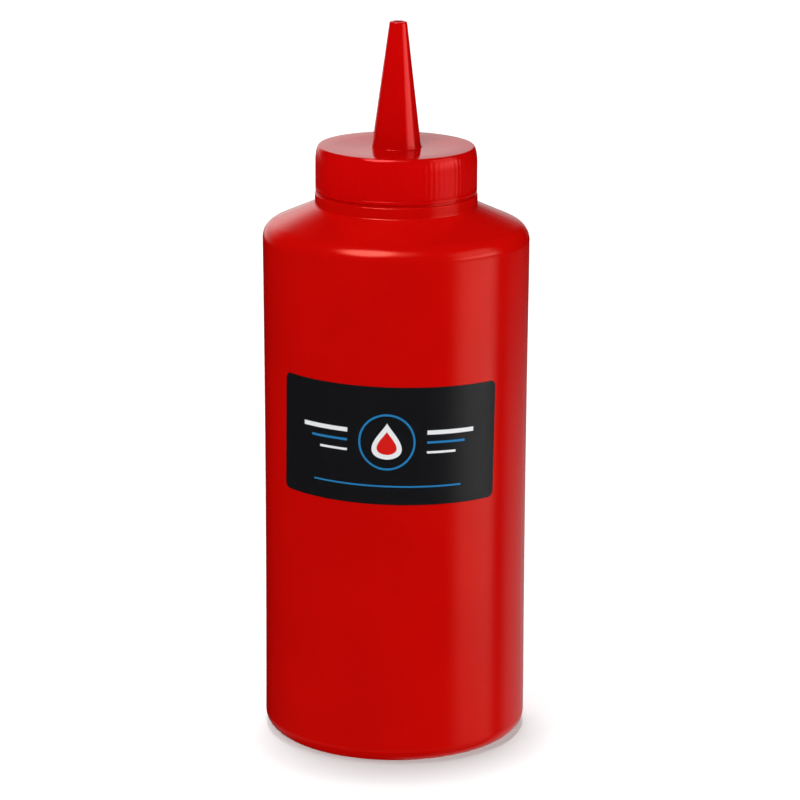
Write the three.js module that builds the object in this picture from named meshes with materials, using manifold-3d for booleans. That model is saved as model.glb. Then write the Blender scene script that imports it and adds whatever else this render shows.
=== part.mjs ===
// Condiment squeeze bottle: a shut blow-moulded bottle, a ribbed cap with a conical nozzle, and a label.
// Millimetres, +Z up. The origin is the centre of the base, and the label faces -Y.
import * as THREE from 'three';
import { mergeVertices } from 'three/addons/utils/BufferGeometryUtils.js';
import Module from 'manifold-3d';

// Bottle
const BODY_RADIUS = 40.15;
const WAIST_SINK = 0.3; // how far the wall sags in at mid height
const HEEL_RADIUS = 4.5;
const SHOULDER_START = 153.5; // height at which the wall starts to turn in
const SHOULDER_EDGE_RADIUS = 5.5;
const SHOULDER_SLOPE_DEG = 23.5; // fall of the shoulder from the neck to its edge
const RING_RADIUS = 25.6; // low step round the foot of the neck
const RING_STEP = 0.25;
const NECK_FILLET = 0.5;
const COLLAR_RADIUS = 24.4; // band under the cap, a little wider than it
const COLLAR_TOP = 167;
const COLLAR_EDGE_RADIUS = 0.8;
const NECK_RADIUS = 23.5; // wall that shows in the gap between collar and cap
const NECK_TOP = 168.1;

// Cap
const CAP_RADIUS = 24.25;
const CAP_TOP = 181.8;
const CAP_EDGE_HEIGHT = 5; // the side curves in over this height under the top
const CAP_EDGE_INSET = 1.3; // and by this much
const RIM_HEIGHT = 1.1; // plain band under the ribs
const RIM_EDGE = 0.3; // rounding of the band's two edges
const RIB_COUNT = 90;
const RIB_DEPTH = 0.17;
const RIB_RUN_OUT = 0.6; // height over which the ribs fade at their foot
const RIB_END = 0.9; // plain edge between the ribs and the top

// Nozzle
const NOZZLE_TOP = 218.6;
const NOZZLE_BASE_RADIUS = 7.25;
const NOZZLE_TIP_RADIUS = 2.65;
const NOZZLE_FILLET = 0.3;
const TIP_EDGE_RADIUS = 0.45;
const ORIFICE_RADIUS = 1.6;
const ORIFICE_DEPTH = 10;
const NOZZLE_ROOT = 1.5; // how far the nozzle's solid runs down into the cap
const FILLET_SINK = 0.02; // keeps the fillet's edge just under the cap's flat top

// Label
const LABEL_WIDTH = 71; // along the curved wall
const LABEL_HEIGHT = 35.6;
const LABEL_MIDDLE = 99.1; // height of its centre
const LABEL_CORNER = 2;
const LABEL_TILT_DEG = 1.2; // its right end sits lower
const LABEL_GAP = 0.1; // clearance to the faceted wall
const LABEL_THICKNESS = 0.2;

// Facets: sides round the axis, and steps along each stretch
const BOTTLE_SIDES = 72;
const NOZZLE_SIDES = 40;
const HEEL_STEPS = 5;
const WALL_STEPS = 6;
const SHOULDER_STEPS = 6;
const CAP_EDGE_STEPS = 5;
const SMALL_EDGE_STEPS = 3;
const LABEL_STEPS = 20;
const CORNER_STEPS = 4;

// Finishes
const BOTTLE_RED = 0xbe0804;
const BOTTLE_ROUGHNESS = 0.35;
const CAP_RED = 0xc30504;
const CAP_ROUGHNESS = 0.2;
const LABEL_BLACK = 0x151516;
const LABEL_ROUGHNESS = 0.4;

const wasm = await Module();
wasm.setup();

function point(radius, height) {
  return new THREE.Vector2(radius, height);
}

// Points along a circular stretch of a profile, both ends included
function arc(centreRadius, centreHeight, radius, startDeg, endDeg, steps) {
  const points = [];
  for (let i = 0; i <= steps; i += 1) {
    const angle = THREE.MathUtils.degToRad(startDeg + ((endDeg - startDeg) * i) / steps);
    points.push(point(centreRadius + radius * Math.cos(angle), centreHeight + radius * Math.sin(angle)));
  }
  return points;
}

// Points along a quarter ellipse that bends an upright side in to a level top, both ends included
function bentEdge(radius, height, inset, rise, steps) {
  const points = [];
  for (let i = 0; i <= steps; i += 1) {
    const angle = (Math.PI / 2) * (i / steps);
    points.push(point(radius - inset * (1 - Math.cos(angle)), height + rise * Math.sin(angle)));
  }
  return points;
}

// Turns a profile of (radius, height) points about the Z axis
function turned(profile, sides) {
  const geometry = new THREE.LatheGeometry(profile, sides);
  geometry.rotateX(Math.PI / 2);
  return geometry;
}

function wallRadius(height) {
  const middle = (HEEL_RADIUS + SHOULDER_START) / 2;
  const share = (height - middle) / (SHOULDER_START - middle);
  return BODY_RADIUS - WAIST_SINK * (1 - share * share);
}

function wallPoints() {
  const points = [];
  for (let i = 1; i < WALL_STEPS; i += 1) {
    const height = THREE.MathUtils.lerp(HEEL_RADIUS, SHOULDER_START, i / WALL_STEPS);
    points.push(point(wallRadius(height), height));
  }
  return points;
}

// Point at a radius on the shoulder's slope through a start point
function upSlope(start, radius) {
  const slope = THREE.MathUtils.degToRad(SHOULDER_SLOPE_DEG);
  return point(radius, start.y + (start.x - radius) * Math.tan(slope));
}

// Rounded shoulder edge, straight slope with its low step, and the hollow fillet up to the collar
function shoulderPoints() {
  const slope = THREE.MathUtils.degToRad(SHOULDER_SLOPE_DEG);
  const edgeCentre = BODY_RADIUS - SHOULDER_EDGE_RADIUS;
  const edgeEndDeg = 90 - SHOULDER_SLOPE_DEG;
  const edge = arc(edgeCentre, SHOULDER_START, SHOULDER_EDGE_RADIUS, 0, edgeEndDeg, SHOULDER_STEPS);
  const stepFoot = upSlope(edge[edge.length - 1], RING_RADIUS);
  const stepTop = point(RING_RADIUS - RING_STEP / 2, stepFoot.y + RING_STEP);
  const filletFoot = upSlope(stepTop, COLLAR_RADIUS + NECK_FILLET * (1 - Math.sin(slope)));
  const filletCentreHeight = filletFoot.y + NECK_FILLET * Math.cos(slope);
  const filletCentre = COLLAR_RADIUS + NECK_FILLET;
  const startDeg = 270 - SHOULDER_SLOPE_DEG;
  const fillet = arc(filletCentre, filletCentreHeight, NECK_FILLET, startDeg, 180, SMALL_EDGE_STEPS);
  return [...edge, stepFoot, stepTop, ...fillet];
}

function collarPoints() {
  const centreRadius = COLLAR_RADIUS - COLLAR_EDGE_RADIUS;
  const centreHeight = COLLAR_TOP - COLLAR_EDGE_RADIUS;
  const rounding = arc(centreRadius, centreHeight, COLLAR_EDGE_RADIUS, 0, 90, SMALL_EDGE_STEPS);
  return [...rounding, point(NECK_RADIUS, COLLAR_TOP), point(NECK_RADIUS, NECK_TOP)];
}

function bottleGeometry() {
  const heel = arc(BODY_RADIUS - HEEL_RADIUS, HEEL_RADIUS, HEEL_RADIUS, -90, 0, HEEL_STEPS);
  const profile = [
    point(0, 0),
    ...heel,
    ...wallPoints(),
    ...shoulderPoints(),
    ...collarPoints(),
    point(0, NECK_TOP),
  ];
  return turned(profile, BOTTLE_SIDES);
}

// Closed geometry as a solid that can be joined with another
function solid(geometry) {
  geometry.deleteAttribute('normal');
  geometry.deleteAttribute('uv');
  const merged = mergeVertices(geometry);
  const corners = merged.index.array;
  const triangles = [];
  for (let i = 0; i < corners.length; i += 3) {
    const [a, b, c] = [corners[i], corners[i + 1], corners[i + 2]];
    if (a !== b && b !== c && c !== a) {
      triangles.push(a, b, c);
    }
  }
  const mesh = new wasm.Mesh({
    numProp: 3,
    vertProperties: new Float32Array(merged.attributes.position.array),
    triVerts: new Uint32Array(triangles),
  });
  return new wasm.Manifold(mesh);
}

function geometryOf(manifold) {
  const mesh = manifold.getMesh();
  const geometry = new THREE.BufferGeometry();
  geometry.setAttribute('position', new THREE.BufferAttribute(mesh.vertProperties, 3));
  geometry.setIndex(new THREE.BufferAttribute(mesh.triVerts, 1));
  geometry.computeVertexNormals();
  return geometry;
}

// Presses a valley into every second column of the cap's side between two heights
function cutRibs(geometry, lowest, highest) {
  const position = geometry.attributes.position;
  for (let i = 0; i < position.count; i += 1) {
    const [x, y, z] = [position.getX(i), position.getY(i), position.getZ(i)];
    const column = Math.round((Math.atan2(y, x) / (2 * Math.PI)) * 2 * RIB_COUNT);
    const radius = Math.hypot(x, y);
    const onSide = radius > CAP_RADIUS - CAP_EDGE_INSET;
    if (onSide && z > lowest && z < highest && column % 2 !== 0) {
      const shrink = (radius - RIB_DEPTH) / radius;
      position.setXYZ(i, x * shrink, y * shrink, z);
    }
  }
}

function capBodyGeometry() {
  const rimTop = NECK_TOP + RIM_HEIGHT;
  const edgeStart = CAP_TOP - CAP_EDGE_HEIGHT;
  const profile = [
    point(0, NECK_TOP),
    point(CAP_RADIUS - RIM_EDGE, NECK_TOP),
    point(CAP_RADIUS, NECK_TOP + RIM_EDGE),
    point(CAP_RADIUS, rimTop - RIM_EDGE),
    point(CAP_RADIUS - RIM_EDGE, rimTop),
    point(CAP_RADIUS, rimTop + RIB_RUN_OUT),
    ...bentEdge(CAP_RADIUS, edgeStart, CAP_EDGE_INSET, CAP_EDGE_HEIGHT, CAP_EDGE_STEPS),
    point(0, CAP_TOP),
  ];
  const geometry = turned(profile, 2 * RIB_COUNT);
  cutRibs(geometry, rimTop, CAP_TOP - RIB_END);
  return geometry;
}

// Cone with a filleted foot, a rounded tip and a blind orifice
function nozzleGeometry() {
  const foot = CAP_TOP - FILLET_SINK;
  const footCentre = NOZZLE_BASE_RADIUS + NOZZLE_FILLET;
  const taperDeg = THREE.MathUtils.radToDeg(
    Math.atan2(NOZZLE_BASE_RADIUS - NOZZLE_TIP_RADIUS, NOZZLE_TOP - CAP_TOP),
  );
  const tipCentre = NOZZLE_TIP_RADIUS - TIP_EDGE_RADIUS;
  const profile = [
    point(0, CAP_TOP - NOZZLE_ROOT),
    point(footCentre, CAP_TOP - NOZZLE_ROOT),
    ...arc(footCentre, foot + NOZZLE_FILLET, NOZZLE_FILLET, 270, 180 + taperDeg, SMALL_EDGE_STEPS),
    ...arc(tipCentre, NOZZLE_TOP - TIP_EDGE_RADIUS, TIP_EDGE_RADIUS, taperDeg, 90, SMALL_EDGE_STEPS),
    point(ORIFICE_RADIUS, NOZZLE_TOP),
    point(ORIFICE_RADIUS, NOZZLE_TOP - ORIFICE_DEPTH),
    point(0, NOZZLE_TOP - ORIFICE_DEPTH),
  ];
  return turned(profile, NOZZLE_SIDES);
}

function capGeometry() {
  return geometryOf(solid(capBodyGeometry()).add(solid(nozzleGeometry())));
}

// Places along the label's width, closer together round the corners
function labelColumns() {
  const half = LABEL_WIDTH / 2;
  const columns = [];
  for (let i = 0; i < CORNER_STEPS; i += 1) {
    const angle = (Math.PI / 2) * (i / CORNER_STEPS);
    const inset = LABEL_CORNER * (1 - Math.sin(angle));
    columns.push({ along: -half + LABEL_CORNER * (1 - Math.cos(angle)), inset });
  }
  const straight = half - LABEL_CORNER;
  for (let i = 0; i <= LABEL_STEPS; i += 1) {
    columns.push({ along: THREE.MathUtils.lerp(-straight, straight, i / LABEL_STEPS), inset: 0 });
  }
  for (let i = CORNER_STEPS - 1; i >= 0; i -= 1) {
    columns.push({ along: -columns[i].along, inset: columns[i].inset });
  }
  return columns;
}

// Point on the wall's curve at a place on the flat label, a given distance off the wall
function onWall(along, up, offset) {
  const tilt = THREE.MathUtils.degToRad(LABEL_TILT_DEG);
  const across = along * Math.cos(tilt) + up * Math.sin(tilt);
  const height = LABEL_MIDDLE + up * Math.cos(tilt) - along * Math.sin(tilt);
  const angle = across / BODY_RADIUS;
  const radius = wallRadius(height) + offset;
  return [radius * Math.sin(angle), -radius * Math.cos(angle), height];
}

// Thin curved sheet: four points a column, joined into faces, edges and two ends
function labelGeometry() {
  const positions = [];
  const indices = [];
  const columns = labelColumns();
  const outer = LABEL_GAP + LABEL_THICKNESS;
  for (const { along, inset } of columns) {
    const reach = LABEL_HEIGHT / 2 - inset;
    positions.push(...onWall(along, -reach, outer), ...onWall(along, reach, outer));
    positions.push(...onWall(along, reach, LABEL_GAP), ...onWall(along, -reach, LABEL_GAP));
  }
  for (let column = 0; column < columns.length - 1; column += 1) {
    for (let side = 0; side < 4; side += 1) {
      const a = 4 * column + side;
      const b = 4 * column + ((side + 1) % 4);
      indices.push(a, a + 4, b, b, a + 4, b + 4);
    }
  }
  const last = 4 * (columns.length - 1);
  indices.push(0, 1, 2, 0, 2, 3);
  indices.push(last, last + 2, last + 1, last, last + 3, last + 2);
  const geometry = new THREE.BufferGeometry();
  geometry.setAttribute('position', new THREE.Float32BufferAttribute(positions, 3));
  geometry.setIndex(indices);
  geometry.computeVertexNormals();
  return geometry;
}

function part(name, geometry, color, roughness) {
  const material = new THREE.MeshStandardMaterial({ color, roughness, metalness: 0 });
  const mesh = new THREE.Mesh(geometry, material);
  mesh.name = name;
  return mesh;
}

const squeezeBottle = new THREE.Group();
squeezeBottle.add(part('bottle', bottleGeometry(), BOTTLE_RED, BOTTLE_ROUGHNESS));
squeezeBottle.add(part('cap', capGeometry(), CAP_RED, CAP_ROUGHNESS));
squeezeBottle.add(part('label', labelGeometry(), LABEL_BLACK, LABEL_ROUGHNESS));

export default squeezeBottle;
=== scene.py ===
# Looks of the condiment squeeze bottle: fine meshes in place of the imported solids, their finishes,
# the studio and the camera. Metres, +Z up, origin at the centre of the base, label towards -Y.
import math

import bpy
from mathutils import Matrix, Vector


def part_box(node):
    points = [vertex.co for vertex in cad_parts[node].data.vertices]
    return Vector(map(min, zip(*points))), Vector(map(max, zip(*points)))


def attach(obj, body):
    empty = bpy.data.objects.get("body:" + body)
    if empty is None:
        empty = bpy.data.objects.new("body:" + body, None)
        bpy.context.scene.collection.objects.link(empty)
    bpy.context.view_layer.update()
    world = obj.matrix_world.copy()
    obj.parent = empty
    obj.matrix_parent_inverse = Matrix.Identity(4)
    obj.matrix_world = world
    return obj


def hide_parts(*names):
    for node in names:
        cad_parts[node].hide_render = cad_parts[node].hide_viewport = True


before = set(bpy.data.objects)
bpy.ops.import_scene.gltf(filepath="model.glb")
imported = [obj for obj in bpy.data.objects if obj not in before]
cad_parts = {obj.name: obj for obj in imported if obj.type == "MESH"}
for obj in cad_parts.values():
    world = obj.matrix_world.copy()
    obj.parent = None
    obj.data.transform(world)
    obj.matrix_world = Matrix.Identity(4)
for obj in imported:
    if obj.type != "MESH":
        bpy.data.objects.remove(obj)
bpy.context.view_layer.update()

MM = 0.001

# Bottle
BODY_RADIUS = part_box("bottle")[1].x
NECK_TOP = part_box("bottle")[1].z
WAIST_SINK = 0.3 * MM
HEEL_RADIUS = 4.5 * MM
SHOULDER_START = 153.5 * MM
SHOULDER_EDGE_RADIUS = 5.5 * MM
SHOULDER_SLOPE = math.radians(23)
NECK_FILLET = 0.65 * MM
COLLAR_RADIUS = 24.4 * MM
COLLAR_TOP = 167.35 * MM
COLLAR_EDGE_RADIUS = 0.38 * MM
NECK_RADIUS = 23.7 * MM
SEAM_HEIGHT = 0.08 * MM
SEAM_HALF_WIDTH = 0.45 * MM

# Cap and nozzle; the tip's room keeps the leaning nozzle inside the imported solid's height
TIP_ROOM = 0.06 * MM
CAP_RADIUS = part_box("cap")[1].x
NOZZLE_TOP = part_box("cap")[1].z - TIP_ROOM
CAP_TOP = 181.55 * MM
CAP_DISH = 0.4 * MM
CAP_ROLL = 0.2 * MM
CAP_ROLL_SHARE = 0.4
CAP_EDGE_HEIGHT = 5 * MM
CAP_EDGE_INSET = 1.15 * MM
RIM_TOP = NECK_TOP + 1.1 * MM
RIM_EDGE_RADIUS = 0.3 * MM
RIM_EDGE_END = 60
RIB_COUNT = 90
RIB_DEPTH = 0.05 * MM
RIB_RUN_OUT = 0.6 * MM
RIB_TOP = CAP_TOP - 0.9 * MM
NOZZLE_FOOT = CAP_TOP - CAP_DISH
NOZZLE_BASE_RADIUS = 7.35 * MM
FOOT_FLARE = 0.1 * MM
FOOT_FLARE_HEIGHT = 2.5 * MM
NOZZLE_TIP_RADIUS = 2.65 * MM
NOZZLE_LEAN = math.radians(0.7)
NOZZLE_FILLET = 0.35 * MM
TIP_EDGE_RADIUS = 0.45 * MM
ORIFICE_RADIUS = 1.6 * MM
ORIFICE_DEPTH = 10 * MM

# The shoulder, neck and cap stand a little askew; each lean comes in over a reach of height
LEAN_RIGHT = math.radians(0.35)
LEAN_RIGHT_REACH = 10 * MM
LEAN_FORWARD = math.radians(1.0)
LEAN_FORWARD_REACH = 5 * MM

# Label
LABEL_WIDTH = 71 * MM
LABEL_HEIGHT = 35.6 * MM
LABEL_MIDDLE = 99.1 * MM
LABEL_CORNER = 2 * MM
LABEL_TILT = math.radians(1.2)
LABEL_SINK = 0.03 * MM
LABEL_THICKNESS = 0.12 * MM

# Fineness of the meshes
BOTTLE_COLUMNS = 192
COLUMNS_PER_RIB = 6
ARC_STEP = math.radians(6)
WALL_ROWS = 60
CAP_SIDE_ROWS = 12
CAP_TOP_ROWS = 40
FLARE_ROWS = 6
LABEL_COLUMNS = 72
LABEL_ROWS = 24
CORNER_COLUMNS = 10
SMOOTH_BELOW = math.radians(32)

# Floor and lamps
FLOOR_HALF = 4.0
FLOOR_DROP = 0.05 * MM
PAPER_GREY = 0.3
AIM_HEIGHT = 80 * MM
UP = (0, 0, 1)
DOWN = (0, 0, -1)
WHOLE_SKY = 180

# Camera, as fitted to the photograph's 800 by 800 frame
CAMERA_AZIMUTH = math.radians(3.7)
CAMERA_DISTANCE = 899.78 * MM
CAMERA_HEIGHT = 333.4 * MM
CAMERA_PITCH = math.radians(14.367)
CAMERA_YAW = math.radians(0.086)
CAMERA_ROLL = math.radians(0.21)
CAMERA_LENS = 136.97
CAMERA_SENSOR = 36


def arc(centre_radius, centre_height, radius, start, end):
    """Points along a circular stretch of a profile, both ends included; angles in degrees."""
    steps = max(2, math.ceil(abs(math.radians(end - start)) / ARC_STEP))
    points = []
    for i in range(steps + 1):
        angle = math.radians(start + (end - start) * i / steps)
        points.append((centre_radius + radius * math.cos(angle), centre_height + radius * math.sin(angle)))
    return points


def bent_edge(radius, height, inset, rise):
    """Points of a quarter ellipse that bends an upright side in to a level top, both ends included."""
    steps = math.ceil(math.pi / 2 / ARC_STEP)
    angles = [math.pi / 2 * i / steps for i in range(steps + 1)]
    return [(radius - inset * (1 - math.cos(angle)), height + rise * math.sin(angle)) for angle in angles]


def wall_radius(height):
    """Radius of the wall, which sinks in a little towards its middle."""
    middle = (HEEL_RADIUS + SHOULDER_START) / 2
    share = (height - middle) / (SHOULDER_START - middle)
    return BODY_RADIUS - WAIST_SINK * (1 - share * share)


def wall_points():
    """Rows up the wall, close together at its ends, where it meets the rounded edges."""
    middle = (HEEL_RADIUS + SHOULDER_START) / 2
    half = (SHOULDER_START - HEEL_RADIUS) / 2
    heights = [middle - half * math.cos(math.pi * i / WALL_ROWS) for i in range(1, WALL_ROWS)]
    return [(wall_radius(height), height) for height in heights]


def up_slope(start, radius):
    """Point at a radius on the shoulder's slope through a start point."""
    return radius, start[1] + (start[0] - radius) * math.tan(SHOULDER_SLOPE)


def shoulder_points():
    """Rounded edge and straight slope, with a hollow round the foot of the neck."""
    edge_end = 90 - math.degrees(SHOULDER_SLOPE)
    edge = arc(BODY_RADIUS - SHOULDER_EDGE_RADIUS, SHOULDER_START, SHOULDER_EDGE_RADIUS, 0, edge_end)
    centre = COLLAR_RADIUS + NECK_FILLET
    slope_end = up_slope(edge[-1], centre - NECK_FILLET * math.sin(SHOULDER_SLOPE))
    centre_height = slope_end[1] + NECK_FILLET * math.cos(SHOULDER_SLOPE)
    return edge + arc(centre, centre_height, NECK_FILLET, 180 + edge_end, 180)


def bottle_profile():
    """Base, heel, wall, shoulder, collar and neck."""
    heel = arc(BODY_RADIUS - HEEL_RADIUS, HEEL_RADIUS, HEEL_RADIUS, -90, 0)
    collar_centre = COLLAR_RADIUS - COLLAR_EDGE_RADIUS
    collar = arc(collar_centre, COLLAR_TOP - COLLAR_EDGE_RADIUS, COLLAR_EDGE_RADIUS, 0, 90)
    neck = [(NECK_RADIUS, COLLAR_TOP), (NECK_RADIUS, NECK_TOP)]
    return [(0, 0)] + heel + wall_points() + shoulder_points() + collar + neck + [(0, NECK_TOP)]


def nozzle_radius(height):
    """Cone that spreads a little at its foot."""
    share = (height - NOZZLE_FOOT) / (NOZZLE_TOP - NOZZLE_FOOT)
    spread = max(0, 1 - (height - NOZZLE_FOOT) / FOOT_FLARE_HEIGHT)
    cone = NOZZLE_BASE_RADIUS + (NOZZLE_TIP_RADIUS - NOZZLE_BASE_RADIUS) * share
    return cone + FOOT_FLARE * spread * spread


def cap_side_points():
    """Rows up the cap's straight side."""
    side_top = CAP_TOP - CAP_EDGE_HEIGHT
    return [(CAP_RADIUS, RIM_TOP + (side_top - RIM_TOP) * i / CAP_SIDE_ROWS) for i in range(CAP_SIDE_ROWS)]


def cap_top_points(outer, inner):
    """Top between two radii: it rolls up from its edge and sinks towards the nozzle."""
    points = []
    for row in range(1, CAP_TOP_ROWS):
        share = row / CAP_TOP_ROWS
        rolled = CAP_ROLL * (1 - max(0, 1 - share / CAP_ROLL_SHARE) ** 2)
        sunk = (CAP_DISH + CAP_ROLL) * share
        points.append((outer + (inner - outer) * share, CAP_TOP + rolled - sunk))
    return points


def nozzle_points():
    """Nozzle from its spread foot up to the rounded edge of its tip."""
    flare_start = NOZZLE_FOOT + NOZZLE_FILLET
    flare = [flare_start + FOOT_FLARE_HEIGHT * i / FLARE_ROWS for i in range(1, FLARE_ROWS + 1)]
    length = NOZZLE_TOP - NOZZLE_FOOT
    taper = math.degrees(math.atan2(NOZZLE_BASE_RADIUS - NOZZLE_TIP_RADIUS, length))
    tip_centre = NOZZLE_TIP_RADIUS - TIP_EDGE_RADIUS
    tip = arc(tip_centre, NOZZLE_TOP - TIP_EDGE_RADIUS, TIP_EDGE_RADIUS, taper, 90)
    return [(nozzle_radius(height), height) for height in flare] + tip


def cap_profile():
    """Underside, plain rim, ribbed side, rounded edge, dished top, nozzle and its blind orifice."""
    rim_centre = CAP_RADIUS - RIM_EDGE_RADIUS
    foot_centre = nozzle_radius(NOZZLE_FOOT) + NOZZLE_FILLET
    return [
        (0, NECK_TOP),
        *arc(rim_centre, NECK_TOP + RIM_EDGE_RADIUS, RIM_EDGE_RADIUS, -90, 0),
        *arc(rim_centre, RIM_TOP - RIM_EDGE_RADIUS, RIM_EDGE_RADIUS, 0, RIM_EDGE_END),
        *cap_side_points(),
        *bent_edge(CAP_RADIUS, CAP_TOP - CAP_EDGE_HEIGHT, CAP_EDGE_INSET, CAP_EDGE_HEIGHT),
        *cap_top_points(CAP_RADIUS - CAP_EDGE_INSET, foot_centre),
        *arc(foot_centre, NOZZLE_FOOT + NOZZLE_FILLET, NOZZLE_FILLET, 270, 180),
        *nozzle_points(),
        (ORIFICE_RADIUS, NOZZLE_TOP),
        (ORIFICE_RADIUS, NOZZLE_TOP - ORIFICE_DEPTH),
        (0, NOZZLE_TOP - ORIFICE_DEPTH),
    ]


def seamed(radius, height, angle):
    """The mould's parting line: a low ridge down both flanks, never prouder than the body."""
    if not HEEL_RADIUS < height < COLLAR_TOP - COLLAR_EDGE_RADIUS:
        return radius
    flank = abs(abs(angle) - math.pi / 2) * radius
    ridge = SEAM_HEIGHT * max(0, 1 - flank / SEAM_HALF_WIDTH)
    return min(radius + ridge, max(radius, BODY_RADIUS))


def ribbed(radius, height, angle):
    """Shallow rounded ribs between the cap's rim and its top edge."""
    if not RIM_TOP < height < RIB_TOP or radius < CAP_RADIUS - CAP_EDGE_INSET:
        return radius
    run_out = min(1, (height - RIM_TOP) / RIB_RUN_OUT, (RIB_TOP - height) / RIB_RUN_OUT)
    return radius - RIB_DEPTH * run_out * (1 - math.cos(RIB_COUNT * angle)) / 2


def share_between(value, zero_at, one_at):
    return min(1, max(0, (value - zero_at) / (one_at - zero_at)))


def lean(mesh):
    """Lowers the right and the front of what stands above the shoulder's edge."""
    slope_foot = SHOULDER_START + SHOULDER_EDGE_RADIUS
    for vertex in mesh.vertices:
        point = vertex.co
        right_share = share_between(point.z, SHOULDER_START - LEAN_RIGHT_REACH, SHOULDER_START)
        front_share = share_between(point.z, slope_foot, slope_foot + LEAN_FORWARD_REACH)
        right = point.x * math.tan(LEAN_RIGHT) * right_share
        front = -point.y * math.tan(LEAN_FORWARD) * front_share
        point.z -= right + front
    return mesh


def even_angles(count):
    return [2 * math.pi * i / count - math.pi for i in range(count)]


def bottle_angles():
    """Even columns, with closer ones over the two parting lines."""
    angles = set(even_angles(BOTTLE_COLUMNS))
    for flank in (-math.pi / 2, math.pi / 2):
        for share in (-1, -0.5, 0.5, 1):
            angles.add(flank + share * SEAM_HALF_WIDTH / BODY_RADIUS)
    return sorted(angles)


def on_axis(radius, angle, height):
    """Point at an angle measured from the label's side, positive towards +X."""
    return radius * math.sin(angle), -radius * math.cos(angle), height


def turned_mesh(name, profile, angles, shape):
    """Closed mesh of a profile turned about Z. The profile starts and ends on the axis."""
    count = len(angles)
    rings = profile[1:-1]
    points = []
    for radius, height in rings:
        points += [on_axis(shape(radius, height, angle), angle, height) for angle in angles]
    first, last = len(points), len(points) + 1
    points += [(0, 0, profile[0][1]), (0, 0, profile[-1][1])]
    faces = []
    top = (len(rings) - 1) * count
    for column in range(count):
        beside = (column + 1) % count
        faces.append((first, beside, column))
        faces.append((last, top + column, top + beside))
        for ring in range(len(rings) - 1):
            row = ring * count
            faces.append((row + column, row + beside, row + beside + count, row + column + count))
    mesh = bpy.data.meshes.new(name)
    mesh.from_pydata(points, [], faces)
    return mesh


def cap_mesh(name):
    """Cap and nozzle in one, the nozzle leaning a little to the right."""
    mesh = turned_mesh(name, cap_profile(), even_angles(RIB_COUNT * COLUMNS_PER_RIB), ribbed)
    for vertex in mesh.vertices:
        vertex.co.x += max(0, vertex.co.z - CAP_TOP) * math.tan(NOZZLE_LEAN)
    return lean(mesh)


def label_places():
    """Places along the label's width with the inset of its rounded corners, as (along, inset)."""
    half = LABEL_WIDTH / 2
    places = []
    for i in range(CORNER_COLUMNS):
        angle = math.pi / 2 * i / CORNER_COLUMNS
        places.append((-half + LABEL_CORNER * (1 - math.cos(angle)), LABEL_CORNER * (1 - math.sin(angle))))
    straight = half - LABEL_CORNER
    middle = [(-straight + 2 * straight * i / LABEL_COLUMNS, 0) for i in range(LABEL_COLUMNS + 1)]
    return places + middle + [(-along, inset) for along, inset in reversed(places)]


def on_wall(along, up, offset):
    """Point of the wall at a place on the flat label, a given distance off the wall."""
    across = along * math.cos(LABEL_TILT) + up * math.sin(LABEL_TILT)
    height = LABEL_MIDDLE + up * math.cos(LABEL_TILT) - along * math.sin(LABEL_TILT)
    return on_axis(wall_radius(height) + offset, across / BODY_RADIUS, height)


def label_border(columns, rows):
    """Points round the label's outer face, one after the other."""
    border = [column * rows for column in range(columns)]
    border += [(columns - 1) * rows + row for row in range(1, rows)]
    border += [column * rows + rows - 1 for column in reversed(range(columns - 1))]
    return border + [row for row in reversed(range(1, rows - 1))]


def label_mesh(name):
    """Thin closed sheet over the wall. Each point keeps its place on the flat label in millimetres."""
    places = label_places()
    rows = LABEL_ROWS + 1
    points = []
    flat = []
    for offset in (LABEL_THICKNESS, -LABEL_SINK):
        for along, inset in places:
            for row in range(rows):
                up = (LABEL_HEIGHT / 2 - inset) * (2 * row / LABEL_ROWS - 1)
                points.append(on_wall(along, up, offset))
                flat.append((along / MM, up / MM, 0))
    back = len(places) * rows
    faces = []
    for column in range(len(places) - 1):
        for row in range(LABEL_ROWS):
            a = column * rows + row
            b = a + rows
            faces.append((a, b, b + 1, a + 1))
            faces.append((back + a, back + a + 1, back + b + 1, back + b))
    border = label_border(len(places), rows)
    for a, b in zip(border, border[1:] + border[:1]):
        faces.append((b, a, back + a, back + b))
    mesh = bpy.data.meshes.new(name)
    mesh.from_pydata(points, [], faces)
    places_on_label = mesh.attributes.new("label_mm", "FLOAT_VECTOR", "POINT")
    places_on_label.data.foreach_set("vector", [value for place in flat for value in place])
    return mesh


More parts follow.
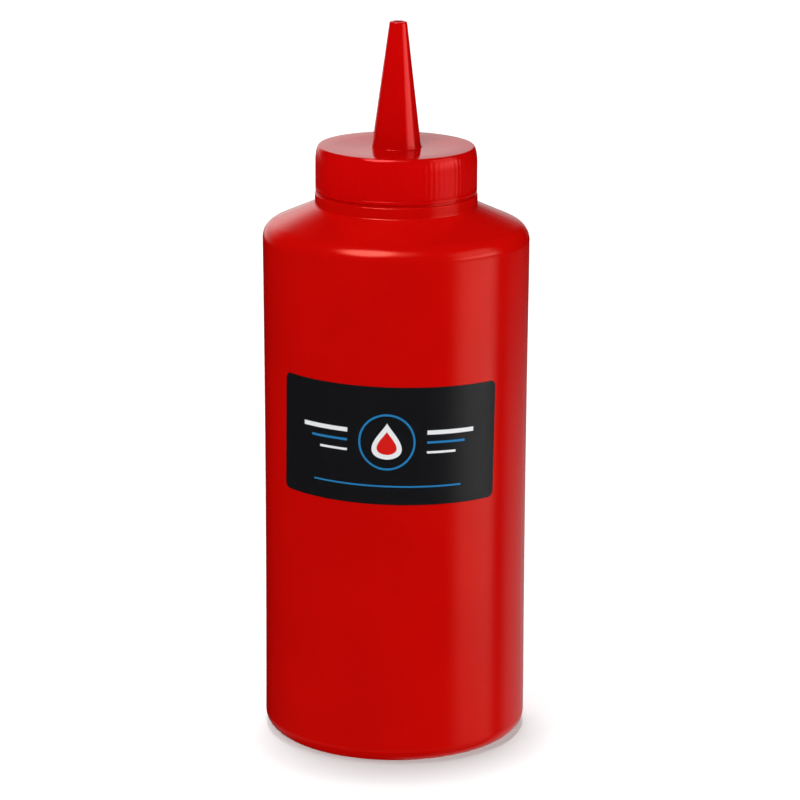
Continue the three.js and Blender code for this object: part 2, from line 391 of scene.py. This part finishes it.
class Graph:
    """Adds nodes to a tree and joins them, so that a shader reads like a formula."""

    def __init__(self, tree):
        self.tree = tree

    def node(self, kind, **settings):
        node = self.tree.nodes.new(kind)
        for name, value in settings.items():
            setattr(node, name, value)
        return node

    def feed(self, socket, value):
        if isinstance(value, bpy.types.NodeSocket):
            self.tree.links.new(value, socket)
        else:
            socket.default_value = value

    def math(self, operation, *values):
        node = self.node("ShaderNodeMath", operation=operation)
        for socket, value in zip(node.inputs, values):
            self.feed(socket, value)
        return node.outputs["Value"]

    def product(self, *values):
        result = values[0]
        for value in values[1:]:
            result = self.math("MULTIPLY", result, value)
        return result

    def total(self, *values):
        result = values[0]
        for value in values[1:]:
            result = self.math("ADD", result, value)
        return result

    def difference(self, value, less):
        return self.math("SUBTRACT", value, less)

    def off(self, value, middle):
        """How far a value lies from a middle, to either side."""
        return self.math("ABSOLUTE", self.difference(value, middle))

    def ramp(self, value, zero_at, one_at, low=0.0, high=1.0):
        """Smooth step from low at zero_at to high at one_at, in either direction."""
        node = self.node("ShaderNodeMapRange", interpolation_type="SMOOTHSTEP")
        for name, number in (("From Min", zero_at), ("From Max", one_at), ("To Min", low), ("To Max", high)):
            node.inputs[name].default_value = number
        self.feed(node.inputs["Value"], value)
        return node.outputs["Result"]

    def noise(self, coordinates, scale, detail=2.0, stretch=(1, 1, 1)):
        mapping = self.node("ShaderNodeMapping")
        mapping.inputs["Scale"].default_value = stretch
        self.feed(mapping.inputs["Vector"], coordinates)
        noise = self.node("ShaderNodeTexNoise")
        noise.inputs["Scale"].default_value = scale
        noise.inputs["Detail"].default_value = detail
        self.feed(noise.inputs["Vector"], mapping.outputs["Vector"])
        return noise.outputs["Fac"]

    def axes(self, vector):
        """The X, Y and Z of a vector."""
        node = self.node("ShaderNodeSeparateXYZ")
        self.feed(node.inputs["Vector"], vector)
        return node.outputs["X"], node.outputs["Y"], node.outputs["Z"]

    def mix(self, share, first, second):
        """Colour between two colours."""
        node = self.node("ShaderNodeMix", data_type="RGBA")
        self.feed(node.inputs["Factor"], share)
        self.feed(node.inputs[6], first)
        self.feed(node.inputs[7], second)
        return node.outputs[2]


def srgb(red, green, blue):
    """Colour as seen on a screen, 0 to 255, as the linear colour that a shader takes."""
    def linear(value):
        share = value / 255
        return share / 12.92 if share <= 0.04045 else ((share + 0.055) / 1.055) ** 2.4
    return linear(red), linear(green), linear(blue), 1


def new_material(name):
    material = bpy.data.materials.new(name)
    material.use_nodes = True
    graph = Graph(material.node_tree)
    return material, graph, material.node_tree.nodes["Principled BSDF"]


def moulded_plastic(name, light, dark, gloss, gloss_tint, roughness, grain, grain_depth):
    """Dyed plastic: faint clouds in the colour, an uneven sheen and a mould grain."""
    material, graph, shader = new_material(name)
    place = graph.node("ShaderNodeTexCoord").outputs["Object"]
    clouds = graph.noise(place, scale=38, detail=3)
    graph.feed(shader.inputs["Base Color"], graph.mix(graph.ramp(clouds, 0.3, 0.7), dark, light))
    sheen = graph.noise(place, scale=70, detail=4, stretch=(1, 1, 0.35))
    spread = 0.03
    uneven = graph.ramp(sheen, 0.25, 0.75, roughness - spread, roughness + spread)
    graph.feed(shader.inputs["Roughness"], uneven)
    shader.inputs["IOR"].default_value = gloss
    shader.inputs["Specular IOR Level"].default_value = 1
    shader.inputs["Specular Tint"].default_value = gloss_tint
    bump = graph.node("ShaderNodeBump")
    bump.inputs["Strength"].default_value = 0.25
    bump.inputs["Distance"].default_value = grain_depth
    graph.feed(bump.inputs["Height"], graph.noise(place, scale=grain))
    graph.feed(shader.inputs["Normal"], bump.outputs["Normal"])
    return material


def bottle_plastic():
    return moulded_plastic(
        "bottle_plastic",
        light=srgb(196, 8, 4),
        dark=srgb(190, 7, 4),
        gloss=1.5,
        gloss_tint=(1, 0.29, 0.21, 1),
        roughness=0.19,
        grain=900,
        grain_depth=0.02 * MM,
    )


def cap_plastic():
    """Glossier than the bottle, with a duller ribbed side between its rim and its top edge."""
    material = moulded_plastic(
        "cap_plastic",
        light=srgb(202, 6, 5),
        dark=srgb(195, 5, 4),
        gloss=1.6,
        gloss_tint=(1, 0.13, 0.12, 1),
        roughness=0.1,
        grain=1400,
        grain_depth=0.006 * MM,
    )
    graph = Graph(material.node_tree)
    height = graph.axes(graph.node("ShaderNodeTexCoord").outputs["Object"])[2]
    below_edge = graph.ramp(height, CAP_TOP - 0.8 * MM, CAP_TOP - 3 * MM)
    above_rim = graph.ramp(height, RIM_TOP - 0.5 * MM, RIM_TOP + 0.5 * MM)
    side_dullness = 0.14
    duller = graph.product(below_edge, above_rim, side_dullness)
    roughness = material.node_tree.nodes["Principled BSDF"].inputs["Roughness"]
    uneven = roughness.links[0].from_socket
    graph.feed(roughness, graph.total(uneven, duller))
    return material


def label_film():
    """Black printed film with a drop in a ring and plain bars, drawn from the flat label's millimetres."""
    material, graph, shader = new_material("label_film")
    place = graph.node("ShaderNodeAttribute", attribute_name="label_mm").outputs["Vector"]
    along, up, _ = graph.axes(place)
    blur = 0.08

    def inside(distance):
        return graph.ramp(distance, blur, -blur)

    def bar(middle, height, width, thickness):
        beside = graph.difference(graph.off(along, middle), width / 2)
        above = graph.difference(graph.off(up, height), thickness / 2)
        return inside(graph.math("MAXIMUM", beside, above))

    def ring(height, radius, thickness):
        rise = graph.difference(up, height)
        square = graph.total(graph.product(along, along), graph.product(rise, rise))
        return inside(graph.difference(graph.off(graph.math("SQRT", square), radius), thickness / 2))

    def drop(height, size, girth):
        rise = graph.math("DIVIDE", graph.difference(up, height), size)
        round_square = graph.math("MAXIMUM", graph.difference(1, graph.product(rise, rise)), 0)
        taper = graph.math("MAXIMUM", graph.product(graph.difference(1, rise), 0.5), 0)
        width = graph.product(graph.math("SQRT", round_square), graph.math("POWER", taper, 0.8), girth)
        across = graph.math("ABSOLUTE", along)
        return inside(graph.difference(graph.total(across, blur), width))

    black, dark_grey, white = srgb(14, 14, 16), srgb(19, 19, 21), srgb(226, 228, 230)
    blue, red = srgb(38, 118, 172), srgb(205, 28, 24)
    colour = graph.mix(graph.noise(place, scale=0.25, detail=3), black, dark_grey)
    colour = graph.mix(ring(height=1.2, radius=8.2, thickness=0.6), colour, blue)
    colour = graph.mix(drop(height=1.6, size=5.6, girth=6.6), colour, white)
    colour = graph.mix(drop(height=1.0, size=3.6, girth=4.4), colour, red)
    for side in (-1, 1):
        colour = graph.mix(bar(side * 19.5, height=4.2, width=15, thickness=1.3), colour, white)
        colour = graph.mix(bar(side * 18, height=1.2, width=12, thickness=0.7), colour, blue)
        colour = graph.mix(bar(side * 16.5, height=-1.8, width=9, thickness=0.7), colour, white)
    colour = graph.mix(bar(0, height=-12.2, width=46, thickness=0.5), colour, blue)
    graph.feed(shader.inputs["Base Color"], colour)
    sheen = graph.noise(place, scale=0.5, detail=3)
    graph.feed(shader.inputs["Roughness"], graph.ramp(sheen, 0.25, 0.75, 0.3, 0.4))
    return material


def add_piece(mesh, node, material):
    """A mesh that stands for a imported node, moves with it and takes its finish."""
    mesh.validate()
    mesh.shade_smooth()
    mesh.set_sharp_from_angle(angle=SMOOTH_BELOW)
    mesh.materials.append(material)
    piece = bpy.data.objects.new(mesh.name, mesh)
    bpy.context.scene.collection.objects.link(piece)
    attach(piece, "root")
    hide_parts(node)
    return piece


def direction(azimuth, elevation):
    """Unit vector; azimuth in degrees from the camera's side of the object, positive to its right."""
    turn = math.radians(azimuth) + CAMERA_AZIMUTH
    rise = math.radians(elevation)
    return Vector((math.sin(turn) * math.cos(rise), -math.cos(turn) * math.cos(rise), math.sin(rise)))


def side_box(graph, turn, rise):
    """Tall box on the right. Wall, cap, nozzle and shoulder mirror it at rising heights."""
    left_edge = graph.ramp(turn, 46, 64)
    right_edge = graph.ramp(turn, 101, 88)
    upper_edge = graph.ramp(rise, 44, 26)
    wall_level = graph.ramp(rise, -22.5, -12.3, 0.12, 1.5)
    dimmer_for_cap = graph.ramp(rise, -11.5, -10.6, 0, -1.25)
    brighter_for_nozzle = graph.ramp(rise, -6, 2.5, 0, 2.25)
    dimmer_for_shoulder = graph.ramp(rise, 5, 11, 0, -1.35)
    level = graph.total(wall_level, dimmer_for_cap, brighter_for_nozzle, dimmer_for_shoulder)
    return graph.product(left_edge, right_edge, upper_edge, level)


def round_box(graph, sky, centre, edge, core, level):
    """Round box: full inside its core and fading out to its edge, both as degrees off its centre."""
    toward = graph.node("ShaderNodeVectorMath", operation="DOT_PRODUCT")
    graph.feed(toward.inputs[0], sky)
    toward.inputs[1].default_value = centre
    edge_cosine = math.cos(math.radians(edge))
    core_cosine = math.cos(math.radians(core))
    return graph.ramp(toward.outputs["Value"], edge_cosine, core_cosine, 0, level)


def key_box(graph, sky):
    """Bright box high on the left, with a weak skirt on its right."""
    main = round_box(graph, sky, direction(-31, 50), edge=23, core=11, level=7.4)
    skirt = round_box(graph, sky, direction(-1, 50), edge=20, core=8, level=1.1)
    return graph.total(main, skirt)


def back_box(graph, turn, rise):
    """Wide box behind the bottle, which the cap's top and the left of the shoulder mirror."""
    around = graph.math("MODULO", graph.total(turn, 360), 360)
    slant = 0.35
    skewed = graph.difference(around, graph.product(rise, slant))
    near_edge = graph.ramp(skewed, 157, 184)
    far_edge = graph.ramp(around, 232, 196)
    upper_edge = graph.ramp(rise, 31, 15.5)
    brighter_above = graph.ramp(rise, 5, 18, 0.92, 1.12)
    lower_edge = graph.ramp(rise, -9, -2)
    level = 0.95
    return graph.product(near_edge, far_edge, upper_edge, brighter_above, lower_edge, level)


def mirrored_floor(graph, turn, rise):
    """The bright sweep as the plastic mirrors it, to the right of the bottle and close before it."""
    right_level, near_level = 0.3, 0.12
    right = graph.product(graph.ramp(turn, 104, 122), graph.ramp(rise, -11, -17.5), right_level)
    near = graph.product(graph.ramp(rise, -20, -27), graph.ramp(rise, -42, -32), near_level)
    return graph.total(right, near)


def studio_world():
    """White backdrop for the camera, and the boxes and sweep that the plastic mirrors."""
    world = bpy.data.worlds.new("studio")
    bpy.context.scene.world = world
    world.use_nodes = True
    world.cycles.sampling_method = "NONE"
    graph = Graph(world.node_tree)
    sky = graph.node("ShaderNodeTexCoord").outputs["Generated"]
    x, y, z = graph.axes(sky)
    turn = graph.math("ARCTAN2", x, graph.product(y, -1))
    turn = graph.math("DEGREES", graph.difference(turn, CAMERA_AZIMUTH))
    rise = graph.math("DEGREES", graph.math("ARCSINE", z))
    rays = graph.node("ShaderNodeLightPath")
    seen_directly = graph.math("LESS_THAN", rays.outputs["Glossy Depth"], 1.5)
    mirrored = graph.total(
        side_box(graph, turn, rise),
        graph.product(key_box(graph, sky), seen_directly),
        back_box(graph, turn, rise),
        mirrored_floor(graph, turn, rise),
    )
    level = graph.total(graph.product(mirrored, rays.outputs["Is Glossy Ray"]), rays.outputs["Is Camera Ray"])
    backdrop = world.node_tree.nodes["Background"]
    graph.feed(backdrop.inputs["Strength"], level)
    backdrop.inputs["Color"].default_value = (1, 1, 1, 1)


def add_lamp(light, toward, receivers):
    """Hangs a lamp that shines from a direction on some objects only, while all others still shade them."""
    light.cycles.use_multiple_importance_sampling = False
    lamp = bpy.data.objects.new(light.name, light)
    lamp.rotation_euler = Vector(toward).to_track_quat("Z", "Y").to_euler()
    lamp.visible_glossy = False
    lamp.visible_camera = False
    bpy.context.scene.collection.objects.link(lamp)
    lit = bpy.data.collections.new(light.name + "_lit")
    for receiver in receivers:
        lit.objects.link(receiver)
    lamp.light_linking.receiver_collection = lit
    return lamp


def add_fill(name, toward, spread, level, receivers):
    """Even light from a round part of the sky that gives level times a white surface facing it."""
    light = bpy.data.lights.new(name, "SUN")
    light.angle = math.radians(spread)
    light.energy = level * math.pi
    return add_lamp(light, toward, receivers)


def add_soft_box(name, toward, distance, size, level, receivers):
    """Area light that gives level times a white surface facing it; the world holds its mirror image."""
    light = bpy.data.lights.new(name, "AREA")
    light.shape = "SQUARE"
    light.size = size
    light.energy = level * math.pi ** 2 * distance ** 2
    lamp = add_lamp(light, toward, receivers)
    lamp.location = Vector((0, 0, AIM_HEIGHT)) + toward * distance


def light_pieces(bottle, cap, label):
    """Even light from above and below, and three soft boxes."""
    add_fill("sky", UP, WHOLE_SKY, level=0.6, receivers=[bottle, label])
    add_fill("bounce", DOWN, WHOLE_SKY, level=0.84, receivers=[bottle, label])
    add_fill("cap_sky", UP, WHOLE_SKY, level=0.36, receivers=[cap])
    add_fill("cap_bounce", DOWN, WHOLE_SKY, level=1.16, receivers=[cap])
    pieces = [bottle, cap, label]
    add_soft_box("key", direction(-28, 50), distance=1.2, size=0.6, level=0.5, receivers=pieces)
    add_soft_box("side", direction(80, 8), distance=1.2, size=0.7, level=0.37, receivers=pieces)
    add_soft_box("back", direction(-150, 38), distance=1.6, size=1.2, level=0.2, receivers=pieces)


def light_floor(floor):
    """A light nearly overhead and one from the left cast the shadow; a lift without shadow pales it."""
    add_fill("floor_top", direction(180, 84), spread=12, level=2.0, receivers=[floor])
    add_fill("floor_left", direction(-60, 60), spread=48, level=0.8, receivers=[floor])
    lift = add_fill("floor_lift", UP, WHOLE_SKY, level=1.3, receivers=[floor])
    lift.data.use_shadow = False


def add_floor():
    """Bright sweep under the bottle. It takes shadows but lends the plastic no light of its own."""
    mesh = bpy.data.meshes.new("floor")
    corners = [(-1, -1), (1, -1), (1, 1), (-1, 1)]
    points = [(x * FLOOR_HALF, y * FLOOR_HALF, 0) for x, y in corners]
    mesh.from_pydata(points, [], [(0, 1, 2, 3)])
    material = bpy.data.materials.new("floor_paper")
    material.use_nodes = True
    graph = Graph(material.node_tree)
    paper = graph.node("ShaderNodeBsdfDiffuse")
    paper.inputs["Color"].default_value = (PAPER_GREY, PAPER_GREY, PAPER_GREY, 1)
    graph.feed(material.node_tree.nodes["Material Output"].inputs["Surface"], paper.outputs["BSDF"])
    mesh.materials.append(material)
    floor = bpy.data.objects.new("floor", mesh)
    floor.location.z = -FLOOR_DROP
    floor.visible_glossy = False
    floor.visible_diffuse = False
    floor.visible_shadow = False
    bpy.context.scene.collection.objects.link(floor)
    return floor


def add_camera():
    """Camera at the photograph's place, with its small yaw and roll."""
    data = bpy.data.cameras.new("camera")
    data.lens = CAMERA_LENS
    data.sensor_width = CAMERA_SENSOR
    camera = bpy.data.objects.new("camera", data)
    turn = Matrix.Rotation(CAMERA_AZIMUTH - CAMERA_YAW, 4, "Z")
    tilt = Matrix.Rotation(math.pi / 2 - CAMERA_PITCH, 4, "X")
    roll = Matrix.Rotation(CAMERA_ROLL, 4, "Z")
    place = Vector(on_axis(CAMERA_DISTANCE, CAMERA_AZIMUTH, CAMERA_HEIGHT))
    camera.matrix_world = Matrix.Translation(place) @ turn @ tilt @ roll
    bpy.context.scene.collection.objects.link(camera)
    bpy.context.scene.camera = camera


body = lean(turned_mesh("bottle_body", bottle_profile(), bottle_angles(), seamed))
bottle = add_piece(body, "bottle", bottle_plastic())
cap = add_piece(cap_mesh("cap_and_nozzle"), "cap", cap_plastic())
label = add_piece(label_mesh("label_sheet"), "label", label_film())

add_camera()
floor = add_floor()
studio_world()
light_pieces(bottle, cap, label)
light_floor(floor)
bpy.context.scene.view_settings.view_transform = "Standard"
